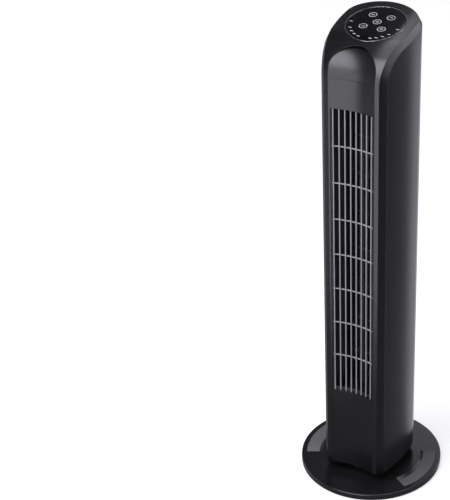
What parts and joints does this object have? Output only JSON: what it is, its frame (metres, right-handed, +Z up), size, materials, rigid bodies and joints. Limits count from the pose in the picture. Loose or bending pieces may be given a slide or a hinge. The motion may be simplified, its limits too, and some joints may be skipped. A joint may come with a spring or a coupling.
{
  "type": "tower fan",
  "caption": "Slim upright tower fan on a round base, with a slotted air outlet, a cross-flow impeller, a swinging tower and an angled control panel.",
  "frame": {"origin": "on the floor under the centre of the round base, on the swivel axis", "axes": "+Z up, the air outlet faces -Y, +X is the fan's left-hand side as the fan faces"},
  "size_m": [0.272, 0.272, 0.9143],
  "materials": {
    "front_shell": "satin black moulded plastic",
    "side_shell": "smooth dark grey moulded plastic",
    "black_plastic": "fine matt texture",
    "base_gloss": "high gloss black",
    "panel_gloss": "high gloss black, piano finish",
    "bright_trim": "polished plated edge",
    "grille_chrome": "polished rods",
    "grille_dark": "satin dark grey",
    "key_gloss": "gloss black with a pale ring",
    "rubber": "soft matt",
    "steel": "zinc plated",
    "ballast": "raw casting",
    "nylon": "natural moulded nylon",
    "duct_plastic": "matt moulded",
    "impeller_plastic": "satin moulded",
    "copper": "enamelled winding",
    "bell_metal": "pressed and plated",
    "laminations": "stacked sheet steel",
    "bronze": "sintered bush",
    "board_green": "solder mask",
    "component_black": "moulded housings",
    "capacitor_shell": "off-white can",
    "led_lens": "pale diffuser",
    "sensor_lens": "dark infrared filter"
  },
  "bodies": {
    "base": {"base_cover": "base_gloss", "base_plate": "black_plastic", "base_weight": "ballast", "foot_ring": "rubber", "base_screws": "steel", "cord_gland": "rubber", "pedestal": "black_plastic", "pedestal_screws": "steel", "glide_ring": "nylon", "fixed_gear": "nylon", "gear_screw": "steel"},
    "tower": {"front_housing": "front_shell", "rear_housing": "side_shell", "intake_grille": "black_plastic", "grille_bars": "grille_chrome", "grille_frame": "grille_dark", "tower_floor": "black_plastic", "air_duct": "duct_plastic", "housing_screws": "steel", "bearing_bridge": "bell_metal", "upper_bush": "bronze", "motor_stator": "laminations", "motor_windings": "copper", "motor_bells": "bell_metal", "motor_bearings": "steel", "motor_bracket": "duct_plastic", "motor_bolts": "steel", "run_capacitor": "capacitor_shell", "power_board": "board_green", "board_parts": "component_black", "swing_bracket": "steel", "swing_motor": "bell_metal", "panel_trim": "bright_trim", "control_panel": "panel_gloss", "panel_carrier": "black_plastic", "control_board": "board_green", "dome_switches": "steel", "indicator_leds": "led_lens", "remote_sensor": "sensor_lens"},
    "impeller": {"impeller": "impeller_plastic", "top_pin": "steel", "motor_shaft": "steel", "motor_rotor": "laminations"},
    "pinion": {"pinion": "nylon", "pinion_shaft": "steel"},
    "key_power": {"key_power": "key_gloss"},
    "key_speed": {"key_speed": "key_gloss"},
    "key_timer": {"key_timer": "key_gloss"},
    "key_mode": {"key_mode": "key_gloss"},
    "key_swing": {"key_swing": "key_gloss"}
  },
  "joints": [
    {"name": "swing", "type": "hinge", "parent": "base", "child": "tower", "pos_m": [0, 0, 0.031], "axis": [0, 0, 1], "range_deg": [-35, 35]},
    {"name": "fan_spin", "type": "hinge", "parent": "tower", "child": "impeller", "pos_m": [0, 0.008, 0.18], "axis": [0, 0, 1], "continuous": true},
    {"name": "pinion_spin", "type": "hinge", "parent": "tower", "child": "pinion", "pos_m": [0, 0.04, 0.042], "axis": [0, 0, 1], "range_deg": [-106, 106]},
    {"name": "press_power", "type": "slide", "parent": "tower", "child": "key_power", "axis": [0, 0.1736, -0.9848], "range_m": [0, 0.0006], "stiffness_N_per_m": 600},
    {"name": "press_speed", "type": "slide", "parent": "tower", "child": "key_speed", "axis": [0, 0.1736, -0.9848], "range_m": [0, 0.0006], "stiffness_N_per_m": 600},
    {"name": "press_timer", "type": "slide", "parent": "tower", "child": "key_timer", "axis": [0, 0.1736, -0.9848], "range_m": [0, 0.0006], "stiffness_N_per_m": 600},
    {"name": "press_mode", "type": "slide", "parent": "tower", "child": "key_mode", "axis": [0, 0.1736, -0.9848], "range_m": [0, 0.0006], "stiffness_N_per_m": 600},
    {"name": "press_swing", "type": "slide", "parent": "tower", "child": "key_swing", "axis": [0, 0.1736, -0.9848], "range_m": [0, 0.0006], "stiffness_N_per_m": 600}
  ],
  "couplings": [
    {"joint": "pinion_spin", "follows": "swing", "ratio": 3}
  ]
}
